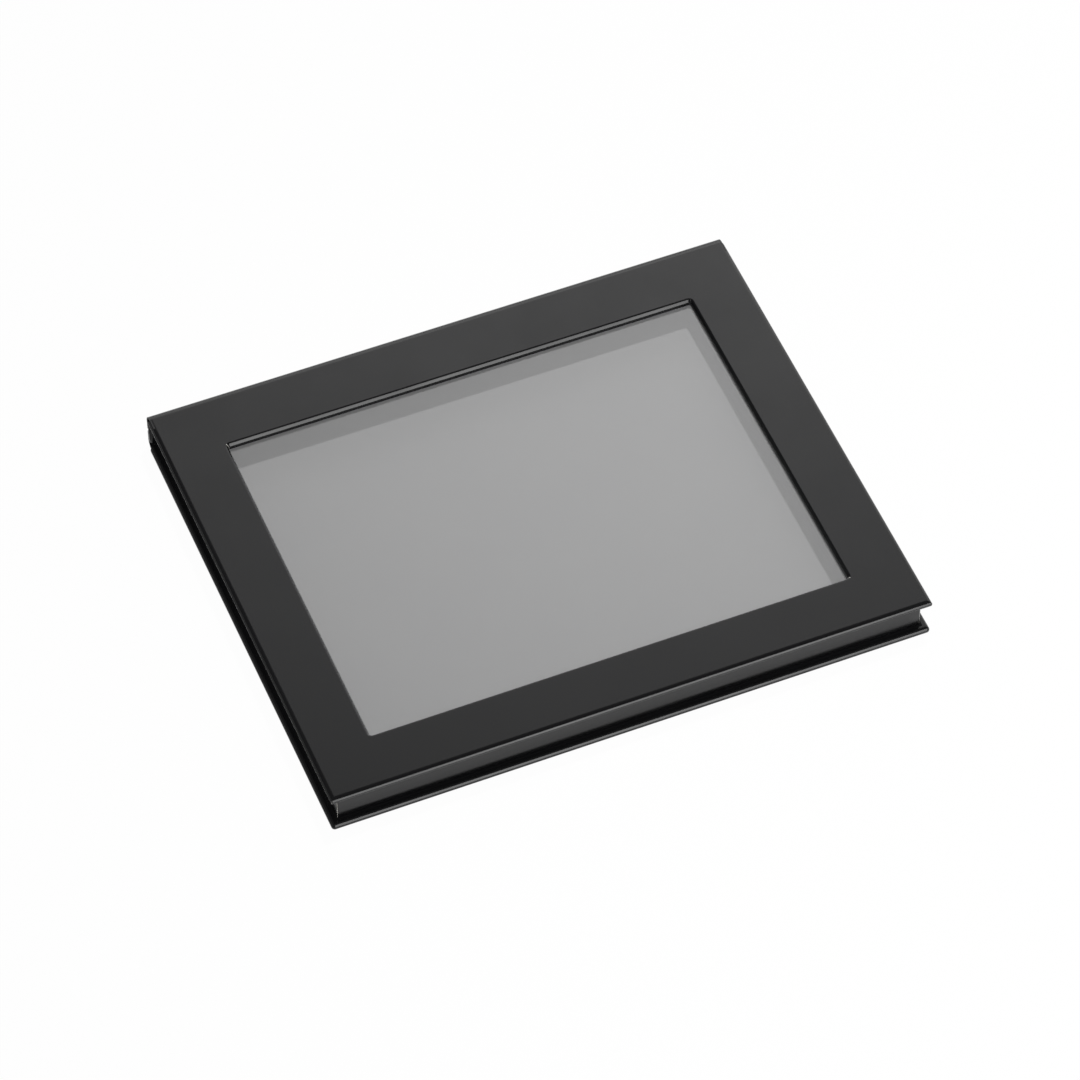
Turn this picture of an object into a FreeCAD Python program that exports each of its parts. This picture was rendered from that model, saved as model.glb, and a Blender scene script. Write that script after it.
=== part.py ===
"""Book-style magnetic make-up palette: a wrapped-board case with a window lid and a shallow tray.

Units are millimetres. The origin lies at the middle of the underside, +X runs along the long side,
+Y points from the front edge to the spine and +Z points up.
"""
import FreeCAD
import Part
import Sketcher
import math
import os
import re

from FreeCAD import Placement, Rotation, Vector

# Driving dimensions
DRIVING_SIZES = {
    "cover_width": 200.0,
    "cover_depth": 165.0,
    "board": 2.0,
    "paper": 0.2,
    "cover_edge_radius": 1.1,
    "cover_turn_in": 10.0,
    "spine_turn_in": 2.5,
    "lining_margin": 2.0,
    "crease_margin": 0.2,
    "crease_radius": 3.0,
    "spine_end_inset": 0.5,
    "window_side_margin": 20.0,
    "window_front_margin": 19.0,
    "window_back_margin": 19.0,
    "window_corner_radius": 1.0,
    "window_edge_radius": 0.9,
    "window_turn_in": 7.0,
    "turn_in_seam": 2.0,
    "film": 0.3,
    "film_lap": 6.0,
    "lining_set_back": 1.0,
    "overhang": 2.5,
    "tray_height": 9.8,
    "tray_floor": 1.0,
    "front_wall": 10.0,
    "side_wall": 4.0,
    "tray_corner_radius": 0.8,
    "spine_clearance": 0.6,
    "lid_clearance": 0.1,
    "sheet_core": 0.8,
    "sheet_facing": 0.2,
    "sheet_clearance": 0.5,
    "magnet_diameter": 8.0,
    "magnet_thickness": 1.5,
    "magnet_spacing": 120.0,
    "magnet_clearance": 0.05,
}

# Sizes and levels that follow from the driving dimensions
DERIVED_SIZES = {
    "panel_thickness": "board + 2 * paper",
    "panel_depth": "cover_depth - crease_radius",
    "panel_middle": "-crease_radius / 2",
    "base_top": "panel_thickness + paper",
    "tray_top": "base_top + tray_height",
    "lid_lining_thickness": "film + paper",
    "lid_panel_bottom": "tray_top + lid_clearance + lid_lining_thickness",
    "total_height": "lid_panel_bottom + panel_thickness",
    "spine_length": "cover_width - 2 * spine_end_inset",
    "spine_height": "total_height - 2 * crease_radius",
    "spine_inner_face": "cover_depth / 2 - panel_thickness - paper",
    "window_width": "cover_width - 2 * window_side_margin",
    "window_depth": "panel_depth - window_front_margin - window_back_margin",
    "window_shift": "(window_back_margin - window_front_margin) / 2",
    "tray_width": "cover_width - 2 * overhang",
    "tray_front": "overhang - cover_depth / 2",
    "tray_back": "spine_inner_face - spine_clearance",
    "tray_depth": "tray_back - tray_front",
    "tray_middle": "(tray_back + tray_front) / 2",
    "frame_width": "tray_width - 2 * paper",
    "frame_depth": "tray_depth - 2 * paper",
    "frame_corner_radius": "tray_corner_radius - paper",
    "wall_bottom": "base_top + tray_floor",
    "wall_height": "tray_height - tray_floor - paper",
    "wall_top": "wall_bottom + wall_height",
    "side_wall_depth": "frame_depth - front_wall - side_wall",
    "front_wall_middle": "tray_front + paper + front_wall / 2",
    "well_width": "frame_width - 2 * side_wall - 2 * paper",
    "well_depth": "side_wall_depth - 2 * paper",
    "well_shift": "(front_wall - side_wall) / 2",
    "well_middle": "tray_middle + well_shift",
    "pocket_diameter": "magnet_diameter + 2 * magnet_clearance",
    "pocket_depth": "magnet_thickness + magnet_clearance",
}

# Ways that a piece can lie, and the sides of a panel that a crease runs along
FLAT = Rotation()
OUTER_FACE_UP = Rotation(Vector(1, 0, 0), 180)
STANDING = Rotation(Vector(1, 0, 0), 90)
TOP_CREASE = Rotation(Vector(1, 1, 1), 120)
BOTTOM_CREASE = Rotation(Vector(1, 0, 0), -90) * TOP_CREASE
FRONT, BACK = -1, 1

TOLERANCE = 1e-4
NODES = []

doc = FreeCAD.newDocument("magnetic_palette")
sheet = doc.addObject("Spreadsheet::Sheet", "sizes")


def fill_sheet():
    """Write the driving dimensions and the sizes that follow from them into the sheet."""
    cells = {name: str(value) for name, value in DRIVING_SIZES.items()}
    cells.update({name: "=" + formula for name, formula in DERIVED_SIZES.items()})
    for row, (name, content) in enumerate(cells.items(), start=1):
        sheet.set(f"A{row}", name)
        sheet.set(f"B{row}", content)
        sheet.setAlias(f"B{row}", name)
    doc.recompute()


def bind(feature, properties):
    """Bind properties of a feature to formulas whose words are names in the sheet."""
    for path, formula in properties.items():
        feature.setExpression(path, re.sub(r"[a-z_]+", r"sizes.\g<0>", formula))


def place(piece, rotation=FLAT, x="0", y="0", z="0"):
    """Turn a piece and bind its position."""
    piece.Placement = Placement(Vector(), rotation)
    bind(piece, {"Placement.Base.x": x, "Placement.Base.y": y, "Placement.Base.z": z})


def keep(piece):
    """Count a finished piece among the nodes that are written out."""
    NODES.append(piece)
    return piece


def new_object(kind, name):
    """Start an object whose label is its name."""
    piece = doc.addObject(kind, name)
    piece.Label = name
    return piece


# Sketches

def new_sketch(body, name, level="0", shift="0"):
    """Attach a sketch to the flat plane of its own body, raised by level and shifted along the depth."""
    sketch = body.newObject("Sketcher::SketchObject", f"{body.Name}_{name}")
    plane = next(item for item in body.Origin.OriginFeatures if item.Role == "XY_Plane")
    sketch.AttachmentSupport = [(plane, "")]
    sketch.MapMode = "FlatFace"
    bind(sketch, {"AttachmentOffset.Base.z": level, "AttachmentOffset.Base.y": shift})
    return sketch


def relate(sketch, kind, *items):
    """Add a geometric constraint."""
    sketch.addConstraint(Sketcher.Constraint(kind, *items))


def measure(sketch, kind, *items, formula):
    """Add a constraint whose value follows a formula."""
    index = sketch.addConstraint(Sketcher.Constraint(kind, *items))
    bind(sketch, {f"Constraints[{index}]": formula})


def add_rectangle(sketch, width, depth):
    """Draw a rectangle centred on the sketch's origin."""
    corners = [Vector(-1, -1), Vector(1, -1), Vector(1, 1), Vector(-1, 1)]
    first = sketch.GeometryCount
    for index, corner in enumerate(corners):
        sketch.addGeometry(Part.LineSegment(corner, corners[(index + 1) % 4]))
    for index in range(4):
        relate(sketch, "Coincident", first + index, 2, first + (index + 1) % 4, 1)
        relate(sketch, "Vertical" if index % 2 else "Horizontal", first + index)
    relate(sketch, "Symmetric", first, 1, first + 2, 1, -1, 1)
    measure(sketch, "DistanceX", first, 1, first, 2, 2.0, formula=width)
    measure(sketch, "DistanceY", first + 1, 1, first + 1, 2, 2.0, formula=depth)


def add_rounded_rectangle(sketch, width, depth, radius):
    """Draw a rectangle with rounded corners, centred on the sketch's origin."""
    headings = [Vector(1, 0), Vector(0, 1), Vector(-1, 0), Vector(0, -1)]
    for index, ahead in enumerate(headings):
        outward = headings[index - 1]
        corner = Part.Circle(outward + ahead, Vector(0, 0, 1), 1.0)
        sketch.addGeometry(Part.LineSegment(outward * 2 - ahead, outward * 2 + ahead))
        sketch.addGeometry(Part.ArcOfCircle(corner, (index - 1) * math.pi / 2, index * math.pi / 2))
    for index in range(8):
        relate(sketch, "Tangent", index, 2, (index + 1) % 8, 1)
    for index in range(4):
        relate(sketch, "Vertical" if index % 2 else "Horizontal", 2 * index)
    for index in (3, 5, 7):
        relate(sketch, "Equal", 1, index)
    relate(sketch, "Symmetric", 0, 1, 4, 1, -1, 1)
    measure(sketch, "Radius", 1, 1.0, formula=radius)
    measure(sketch, "DistanceX", 6, 1, 2, 1, 4.0, formula=width)
    measure(sketch, "DistanceY", 0, 1, 4, 1, 4.0, formula=depth)


def add_circle_pair(sketch, spacing, diameter):
    """Draw two equal circles on the sketch's X axis, the same distance either side of its origin."""
    for side in (-1, 1):
        sketch.addGeometry(Part.Circle(Vector(side, 0), Vector(0, 0, 1), 0.5))
    relate(sketch, "Symmetric", 0, 3, 1, 3, -1, 1)
    relate(sketch, "PointOnObject", 0, 3, -1)
    relate(sketch, "Equal", 0, 1)
    measure(sketch, "DistanceX", 0, 3, 1, 3, 2.0, formula=spacing)
    measure(sketch, "Diameter", 0, 1.0, formula=diameter)


# Features

def pad(body, sketch, length):
    """Raise a sketch by a bound length."""
    feature = body.newObject("PartDesign::Pad", f"{sketch.Name}_pad")
    feature.Profile = sketch
    bind(feature, {"Length": length})
    doc.recompute()


def pocket(body, sketch, length, upwards):
    """Cut a sketch into its body by a bound length and check that it takes material away."""
    before = body.Shape.Volume
    feature = body.newObject("PartDesign::Pocket", f"{sketch.Name}_pocket")
    feature.Profile = sketch
    feature.Reversed = upwards
    bind(feature, {"Length": length})
    doc.recompute()
    if body.Shape.Volume > before - TOLERANCE:
        raise RuntimeError(f"{feature.Name} cuts nothing")


def fillet(body, name, radius, wanted):
    """Round the edges of the body's last feature that pass a test on the edge and the feature's box."""
    base = body.Tip
    box = base.Shape.BoundBox
    edges = [f"Edge{count}" for count, edge in enumerate(base.Shape.Edges, start=1) if wanted(edge, box)]
    feature = body.newObject("PartDesign::Fillet", f"{body.Name}_{name}")
    feature.Base = (base, edges)
    bind(feature, {"Radius": radius})
    doc.recompute()


def plate(name, width, depth, thickness, level="0"):
    """Make a body that is a plain rectangular plate."""
    body = new_object("PartDesign::Body", name)
    outline = new_sketch(body, "outline", level)
    add_rectangle(outline, width, depth)
    pad(body, outline, thickness)
    return body


def cut(name, base, tool):
    """Take one object away from another."""
    result = new_object("Part::Cut", name)
    result.Base = base
    result.Tool = tool
    doc.recompute()
    return result


# Edge tests

def away_from(crease_sides):
    """Test for the edges of a panel that lie on none of its crease sides."""
    def wanted(edge, box):
        levels = [side * box.YMax for side in crease_sides]
        return all(abs(edge.CenterOfMass.y - level) > TOLERANCE for level in levels)
    return wanted


def round_window(edge, box):
    """Test for the level edges round a panel's window."""
    border = sheet.get("window_turn_in")
    middle = edge.CenterOfMass
    inside = abs(middle.x) < box.XMax - border and abs(middle.y) < box.YMax - border
    return inside and edge.BoundBox.ZLength < TOLERANCE


def upright_on(side):
    """Test for the upright edges on the front or back of a wall."""
    def wanted(edge, box):
        on_side = abs(edge.CenterOfMass.y - side * box.YMax) < TOLERANCE
        return on_side and edge.BoundBox.ZLength > TOLERANCE
    return wanted


# Wrapped panels, drawn with the outer face at level 0 and the inner face above it

def cut_window(body, lap="0"):
    """Cut the window through a panel, wider than the opening by a lap on each side."""
    opening = new_sketch(body, "window", shift="window_shift")
    width = f"window_width + 2 * ({lap})"
    depth = f"window_depth + 2 * ({lap})"
    add_rounded_rectangle(opening, width, depth, f"window_corner_radius + {lap}")
    pocket(body, opening, "total_height", upwards=True)


def panel_board(name, width, depth, crease_sides):
    """Make the stiff grey board inside a panel."""
    board = plate(name, f"{width} - 2 * paper", f"{depth} - 2 * paper", "board", level="paper")
    fillet(board, "edges", "cover_edge_radius - paper", away_from(crease_sides))
    return board


def panel_blank(name, width, depth, crease_sides):
    """Make the outside of a panel, from which its wrap is cut."""
    blank = plate(f"{name}_blank", width, depth, "panel_thickness")
    fillet(blank, "edges", "cover_edge_radius", away_from(crease_sides))
    return blank


def open_turn_ins(blank, width, depth, turn_in):
    """Open the inner face of a panel's wrap between the strips of paper turned in round the board."""
    opening = new_sketch(blank, "opening", level="panel_thickness")
    add_rectangle(opening, f"{width} - 2 * {turn_in}", f"{depth} - 2 * {turn_in}")
    pocket(blank, opening, "paper", upwards=False)


def panel_lining(name, width, depth, turn_in, front_margin):
    """Make the sheet that fills the opening between the turn-ins and covers most of the inner face."""
    inner_width = f"{width} - 2 * {turn_in}"
    inner_depth = f"{depth} - 2 * {turn_in}"
    lining = plate(f"{name}_lining", inner_width, inner_depth, "paper", level="paper + board")
    cover = new_sketch(lining, "cover", "panel_thickness", f"({front_margin} - crease_margin) / 2")
    add_rectangle(cover, f"{width} - 2 * lining_margin", f"{depth} - {front_margin} - crease_margin")
    pad(lining, cover, "paper")
    return keep(lining)


def plain_panel(name, width, depth, turn_in, front_margin, crease_sides, **position):
    """Make the board, wrap and lining of a panel with no window, and put them in place."""
    board = keep(panel_board(f"{name}_board", width, depth, crease_sides))
    blank = panel_blank(name, width, depth, crease_sides)
    open_turn_ins(blank, width, depth, turn_in)
    lining = panel_lining(name, width, depth, turn_in, front_margin)
    for piece in (board, blank, lining):
        place(piece, **position)
    keep(cut(f"{name}_wrap", blank, board))


def make_base():
    """Make the base panel that the tray is glued to."""
    plain_panel("base", "cover_width", "panel_depth", "cover_turn_in", "lining_margin", [BACK],
                y="panel_middle")


def make_spine():
    """Make the narrow standing panel at the back, with a crease along each long side."""
    plain_panel("spine", "spine_length", "spine_height", "spine_turn_in", "crease_margin", [FRONT, BACK],
                rotation=STANDING, y="cover_depth / 2", z="total_height / 2")


# The lid

def lid_frame():
    """Make the outside of the lid's board, a frame round the window."""
    frame = panel_board("lid_frame", "cover_width", "panel_depth", [FRONT])
    cut_window(frame, "paper")
    fillet(frame, "window_edges", "window_edge_radius - paper", round_window)
    return frame


def lid_pockets():
    """Make the room for the two closing magnets in the inner face of the lid's board."""
    pockets = new_object("PartDesign::Body", "lid_pockets")
    level = "paper + board - pocket_depth"
    circles = new_sketch(pockets, "circles", level, "panel_middle - front_wall_middle")
    add_circle_pair(circles, "magnet_spacing", "pocket_diameter")
    pad(pockets, circles, "pocket_depth")
    return pockets


def lid_blank():
    """Make the outside of the lid, with the seam where the outer and the window turn-ins all but meet."""
    blank = panel_blank("lid", "cover_width", "panel_depth", [FRONT])
    cut_window(blank)
    fillet(blank, "window_edges", "window_edge_radius", round_window)
    seam = new_sketch(blank, "seam", level="panel_thickness", shift="window_shift")
    for reach in ("window_turn_in", "window_turn_in + turn_in_seam"):
        add_rectangle(seam, f"window_width + 2 * ({reach})", f"window_depth + 2 * ({reach})")
    pocket(blank, seam, "paper", upwards=False)
    return blank


def window_film():
    """Make the clear film that lies on the window's turn-ins."""
    film = new_object("PartDesign::Body", "window_film")
    outline = new_sketch(film, "outline", level="panel_thickness", shift="window_shift")
    add_rectangle(outline, "window_width + 2 * film_lap", "window_depth + 2 * film_lap")
    pad(film, outline, "film")
    return keep(film)


def lid_lining():
    """Make the lining that covers the lid's inner face and holds the film in a recess."""
    width = "cover_width - 2 * lining_margin"
    depth = "panel_depth - 2 * lining_margin"
    lining = plate("lid_lining", width, depth, "lid_lining_thickness", level="panel_thickness")
    recess = new_sketch(lining, "recess", level="panel_thickness", shift="window_shift")
    add_rectangle(recess, "window_width + 2 * film_lap", "window_depth + 2 * film_lap")
    pocket(lining, recess, "film", upwards=True)
    cut_window(lining, "lining_set_back")
    return keep(lining)


def make_lid():
    """Make the window lid with its outer face up."""
    frame = lid_frame()
    pockets = lid_pockets()
    blank = lid_blank()
    for piece in (frame, pockets, blank, window_film(), lid_lining()):
        place(piece, OUTER_FACE_UP, y="panel_middle", z="total_height")
    keep(cut("lid_board", frame, pockets))
    keep(cut("lid_wrap", blank, frame))
    make_magnets("lid", "lid_panel_bottom + paper")


# Creases and magnets

def quarter_cylinder(name, radius, rotation, level):
    """Make a quarter of a cylinder that lies along the spine."""
    cylinder = new_object("Part::Cylinder", name)
    cylinder.Angle = 90
    bind(cylinder, {"Radius": radius, "Height": "spine_length"})
    place(cylinder, rotation, x="-spine_length / 2", y="cover_depth / 2 - crease_radius", z=level)
    return cylinder


def make_crease(name, rotation, level):
    """Make the rolled strip of wrap and lining that joins the spine to a cover."""
    roll = quarter_cylinder(f"{name}_roll", "crease_radius", rotation, level)
    hollow = quarter_cylinder(f"{name}_hollow", "crease_radius - 2 * paper", rotation, level)
    keep(cut(name, roll, hollow))


def make_magnets(carrier, level):
    """Make the two disc magnets that a carrier holds over or under the tray's front wall."""
    for side, sign in (("left", "-"), ("right", "")):
        magnet = new_object("Part::Cylinder", f"{carrier}_magnet_{side}")
        bind(magnet, {"Radius": "magnet_diameter / 2", "Height": "magnet_thickness"})
        place(magnet, x=f"{sign}magnet_spacing / 2", y="front_wall_middle", z=level)
        keep(magnet)


# The tray

def cross_wall(name, thickness, outer_side, middle):
    """Make the front or back wall, which runs the whole width and has rounded outer corners."""
    wall = plate(name, "frame_width", thickness, "wall_height")
    fillet(wall, "corners", "frame_corner_radius", upright_on(outer_side))
    place(wall, y=middle, z="wall_bottom")
    return keep(wall)


def tray_walls():
    """Make the four board walls, with pockets for the closing magnets in the top of the front one."""
    front = cross_wall("tray_front_wall", "front_wall", FRONT, "front_wall_middle")
    pockets = new_sketch(front, "magnets", level="wall_height")
    add_circle_pair(pockets, "magnet_spacing", "pocket_diameter")
    pocket(front, pockets, "pocket_depth", upwards=False)
    cross_wall("tray_back_wall", "side_wall", BACK, "tray_back - paper - side_wall / 2")
    for side, sign in (("left", "-"), ("right", "")):
        wall = keep(plate(f"tray_{side}_wall", "side_wall", "side_wall_depth", "wall_height"))
        place(wall, x=f"{sign}(frame_width - side_wall) / 2", y="well_middle", z="wall_bottom")


def tray_floor():
    """Make the thin board that the walls stand on."""
    floor = new_object("PartDesign::Body", "tray_floor")
    outline = new_sketch(floor, "outline")
    add_rounded_rectangle(outline, "frame_width", "frame_depth", "frame_corner_radius")
    pad(floor, outline, "tray_floor")
    place(floor, y="tray_middle", z="base_top")
    keep(floor)


def tray_wrap():
    """Make the paper that goes up the outside of the walls, over their tops and down the inside."""
    wrap = new_object("PartDesign::Body", "tray_wrap")
    outside = new_sketch(wrap, "outside")
    add_rounded_rectangle(outside, "tray_width", "tray_depth", "tray_corner_radius")
    pad(wrap, outside, "tray_height")
    hollow = new_sketch(wrap, "hollow")
    add_rounded_rectangle(hollow, "frame_width", "frame_depth", "frame_corner_radius")
    pocket(wrap, hollow, "tray_floor + wall_height", upwards=True)
    inside = new_sketch(wrap, "inside", level="tray_floor", shift="well_shift")
    add_rectangle(inside, "well_width + 2 * paper", "well_depth + 2 * paper")
    pad(wrap, inside, "wall_height + paper")
    well = new_sketch(wrap, "well", shift="well_shift")
    add_rectangle(well, "well_width", "well_depth")
    pocket(wrap, well, "tray_height", upwards=True)
    place(wrap, y="tray_middle", z="base_top")
    keep(wrap)


def magnetic_sheet():
    """Make the flexible magnet sheet on the tray's floor and the facing on top of it."""
    layers = (("magnetic_sheet", "sheet_core", "wall_bottom"),
              ("sheet_facing", "sheet_facing", "wall_bottom + sheet_core"))
    for name, thickness, level in layers:
        width = "well_width - 2 * sheet_clearance"
        depth = "well_depth - 2 * sheet_clearance"
        layer = keep(plate(name, width, depth, thickness))
        place(layer, y="well_middle", z=level)


def make_tray():
    """Make the shallow tray, its magnets and the sheet in it."""
    tray_floor()
    tray_walls()
    tray_wrap()
    magnetic_sheet()
    make_magnets("tray", "wall_top - pocket_depth")


# Writing out

def check_document():
    """Stop if any object failed or any node has no sound solid."""
    for item in doc.Objects:
        if "Invalid" in item.State or "Error" in item.State:
            raise RuntimeError(f"{item.Name} failed: {item.State}")
    for node in NODES:
        if node.Shape.isNull() or not node.Shape.isValid() or len(node.Shape.Solids) != 1:
            raise RuntimeError(f"{node.Label} is not one sound solid")


def write_nodes():
    """Write every node to a file that has the node's name."""
    os.makedirs("parts", exist_ok=True)
    for node in NODES:
        node.Shape.exportStep(os.path.join("parts", f"{node.Label}.step"))


def main():
    """Build the palette from its sheet of sizes and write its nodes."""
    fill_sheet()
    make_base()
    make_spine()
    make_lid()
    make_crease("base_crease", BOTTOM_CREASE, "crease_radius")
    make_crease("lid_crease", TOP_CREASE, "total_height - crease_radius")
    make_tray()
    doc.recompute()
    check_document()
    write_nodes()


main()
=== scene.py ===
"""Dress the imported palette: a book-style case of wrapped board with a window lid over a shallow tray.

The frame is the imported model's: metres, +X along the long side, +Y from the front edge to the spine and
+Z up. Sizes are written in millimetres and turned to metres when a mesh is made.
"""
import logging
import math
from dataclasses import dataclass, field
from enum import Enum
from typing import Any, ClassVar

import bpy
from mathutils import Matrix, Vector


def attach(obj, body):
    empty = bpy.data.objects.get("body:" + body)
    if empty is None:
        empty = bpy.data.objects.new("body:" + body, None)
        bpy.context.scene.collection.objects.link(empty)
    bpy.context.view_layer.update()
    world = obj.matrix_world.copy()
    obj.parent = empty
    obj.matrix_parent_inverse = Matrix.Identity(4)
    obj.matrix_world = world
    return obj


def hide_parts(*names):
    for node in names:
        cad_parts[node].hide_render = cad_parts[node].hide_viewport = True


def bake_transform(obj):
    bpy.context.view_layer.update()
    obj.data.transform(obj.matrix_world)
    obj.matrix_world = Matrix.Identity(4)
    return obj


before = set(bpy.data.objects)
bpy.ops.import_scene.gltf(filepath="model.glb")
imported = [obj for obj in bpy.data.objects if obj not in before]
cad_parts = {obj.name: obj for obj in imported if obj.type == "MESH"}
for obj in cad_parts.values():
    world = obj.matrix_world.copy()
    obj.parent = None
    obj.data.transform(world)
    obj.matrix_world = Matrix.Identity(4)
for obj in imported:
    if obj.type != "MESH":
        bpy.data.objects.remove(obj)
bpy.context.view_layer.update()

log = logging.getLogger("palette")

MM = 0.001
QUARTER_TURN = math.pi / 2
CORE_ATTRIBUTE = "bare_core"

# The least radius of a corner and the least gap between faces, in millimetres
TINY = 0.02

# Faces that meet at more than this angle, in degrees, keep a sharp edge
CRISP_ANGLE = 35.0

# Nearly all values of a noise texture lie between these
NOISE_LOW, NOISE_HIGH = 0.3, 0.7

# Sockets of a node that mixes colours, whose names are also those of its sockets for numbers
MIX_FIRST, MIX_SECOND, MIX_RESULT = 6, 7, 2

# Sums for a tree: rows of a result's name, the kind of sum and its terms, which are names or numbers
Sums = tuple[tuple[Any, ...], ...]


class Carrier(Enum):
    """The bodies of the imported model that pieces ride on."""

    BASE = "base"
    SPINE = "spine"
    LID = "lid"


class Slot(Enum):
    """The name of a material slot."""

    BLACK_WRAP = "black_wrap"


class Facing(Enum):
    """The way that the outer face of a wrapped panel looks."""

    DOWN = 1
    UP = -1


class Duty(Enum):
    """What a studio lamp does: a light fills the object, and a card is only seen in its gloss."""

    LIGHT = "light"
    CARD = "card"


# Helpers for colours, nodes and meshes

def linear(colour: str) -> tuple[float, float, float, float]:
    """Turn an sRGB hex colour into linear light, with the constants of the sRGB standard.

    Args:
        colour: A colour such as "#1a2b3c".

    Returns:
        Red, green, blue and an alpha of 1.
    """
    parts = [int(colour[start:start + 2], 16) / 255 for start in (1, 3, 5)]
    light = [part / 12.92 if part <= 0.04045 else ((part + 0.055) / 1.055) ** 2.4 for part in parts]
    return (light[0], light[1], light[2], 1.0)


def per_metre(size: float) -> float:
    """Give a texture's scale for a feature size in millimetres."""
    return 1 / (size * MM)


def add_node(tree: bpy.types.NodeTree, kind: str, settings: dict[str, Any] | None = None,
             inputs: dict[Any, Any] | None = None) -> bpy.types.Node:
    """Add a node, set its properties and fill or link its inputs.

    Args:
        tree: The tree that the node goes into.
        kind: The node's type name.
        settings: Property values by name.
        inputs: Values or output sockets by input name or number.

    Returns:
        The new node.
    """
    node = tree.nodes.new(kind)
    for name, value in (settings or {}).items():
        setattr(node, name, value)
    for key, value in (inputs or {}).items():
        if isinstance(value, bpy.types.NodeSocket):
            tree.links.new(value, node.inputs[key])
        else:
            node.inputs[key].default_value = value
    return node


def new_material(name: str) -> tuple[bpy.types.Material, bpy.types.NodeTree, bpy.types.NodeSocket]:
    """Start a material with an empty tree.

    Args:
        name: The name of the real material.

    Returns:
        The material, its tree and the output socket that its surface goes to.
    """
    material = bpy.data.materials.new(name)
    material.use_nodes = True
    tree = material.node_tree
    tree.nodes.clear()
    output = add_node(tree, "ShaderNodeOutputMaterial")
    return material, tree, output.inputs["Surface"]


def link_object(name: str, mesh: bpy.types.Mesh) -> bpy.types.Object:
    """Put a mesh into the scene as an object at the origin.

    Args:
        name: The piece's name.
        mesh: Its mesh, already in place.

    Returns:
        The new object.
    """
    piece = bpy.data.objects.new(name, mesh)
    bpy.context.scene.collection.objects.link(piece)
    return piece


def dress_node(node: str, material: bpy.types.Material) -> None:
    """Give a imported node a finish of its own.

    Args:
        node: The node's name.
        material: The finish.
    """
    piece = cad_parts[node]
    if not piece.material_slots:
        piece.data.materials.append(material)
    for slot in piece.material_slots:
        slot.material = material
    log.info("%s dressed in %s", node, material.name)


# Finishes

@dataclass(frozen=True)
class LaminatedPaper:
    """Black art paper under a soft-touch film.

    The film gives a deep, even black with a broad satin sheen and a faint orange peel. Along folds the
    paper thins and its pale core shows.
    """

    name: str = "soft_touch_laminated_paper"
    ink: str = "#0f0f10"
    core: str = "#c9c6c0"
    roughness: float = 0.22
    roughness_spread: float = 0.03
    ior: float = 1.5
    mottle_mm: float = 22.0
    # The peel is coarser than the real one, so that it shows in the render
    peel_mm: float = 1.1
    peel_height_mm: float = 0.002
    chip_mm: float = 0.7
    chip_weight: float = 0.5

    def make(self) -> bpy.types.Material:
        """Build the material.

        Returns:
            The finished material.
        """
        material, tree, surface = new_material(self.name)
        place = add_node(tree, "ShaderNodeTexCoord").outputs["Object"]
        mottle = add_node(tree, "ShaderNodeTexNoise", inputs={
            "Vector": place, "Scale": per_metre(self.mottle_mm), "Detail": 3.0})
        rough = add_node(tree, "ShaderNodeMapRange", inputs={
            "Value": mottle.outputs["Fac"], "From Min": NOISE_LOW, "From Max": NOISE_HIGH,
            "To Min": self.roughness - self.roughness_spread,
            "To Max": self.roughness + self.roughness_spread})
        peel = add_node(tree, "ShaderNodeTexNoise", inputs={
            "Vector": place, "Scale": per_metre(self.peel_mm), "Detail": 2.0})
        bump = add_node(tree, "ShaderNodeBump", inputs={
            "Height": peel.outputs["Fac"], "Distance": self.peel_height_mm * MM})
        fold = add_node(tree, "ShaderNodeAttribute", {"attribute_name": CORE_ATTRIBUTE})
        chips = add_node(tree, "ShaderNodeTexNoise", inputs={
            "Vector": place, "Scale": per_metre(self.chip_mm), "Detail": 4.0})
        worn = add_node(tree, "ShaderNodeMath", {"operation": "MULTIPLY_ADD", "use_clamp": True}, {
            0: chips.outputs["Fac"], 1: self.chip_weight, 2: fold.outputs["Fac"]})
        share = add_node(tree, "ShaderNodeMapRange", inputs={
            "Value": worn.outputs["Value"], "From Min": self.chip_weight, "From Max": 1.0})
        tone = add_node(tree, "ShaderNodeMix", {"data_type": "RGBA"}, {
            "Factor": share.outputs["Result"], MIX_FIRST: linear(self.ink), MIX_SECOND: linear(self.core)})
        shader = add_node(tree, "ShaderNodeBsdfPrincipled", inputs={
            "Base Color": tone.outputs[MIX_RESULT], "Roughness": rough.outputs["Result"],
            "Normal": bump.outputs["Normal"], "IOR": self.ior})
        tree.links.new(shader.outputs["BSDF"], surface)
        return material


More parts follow.
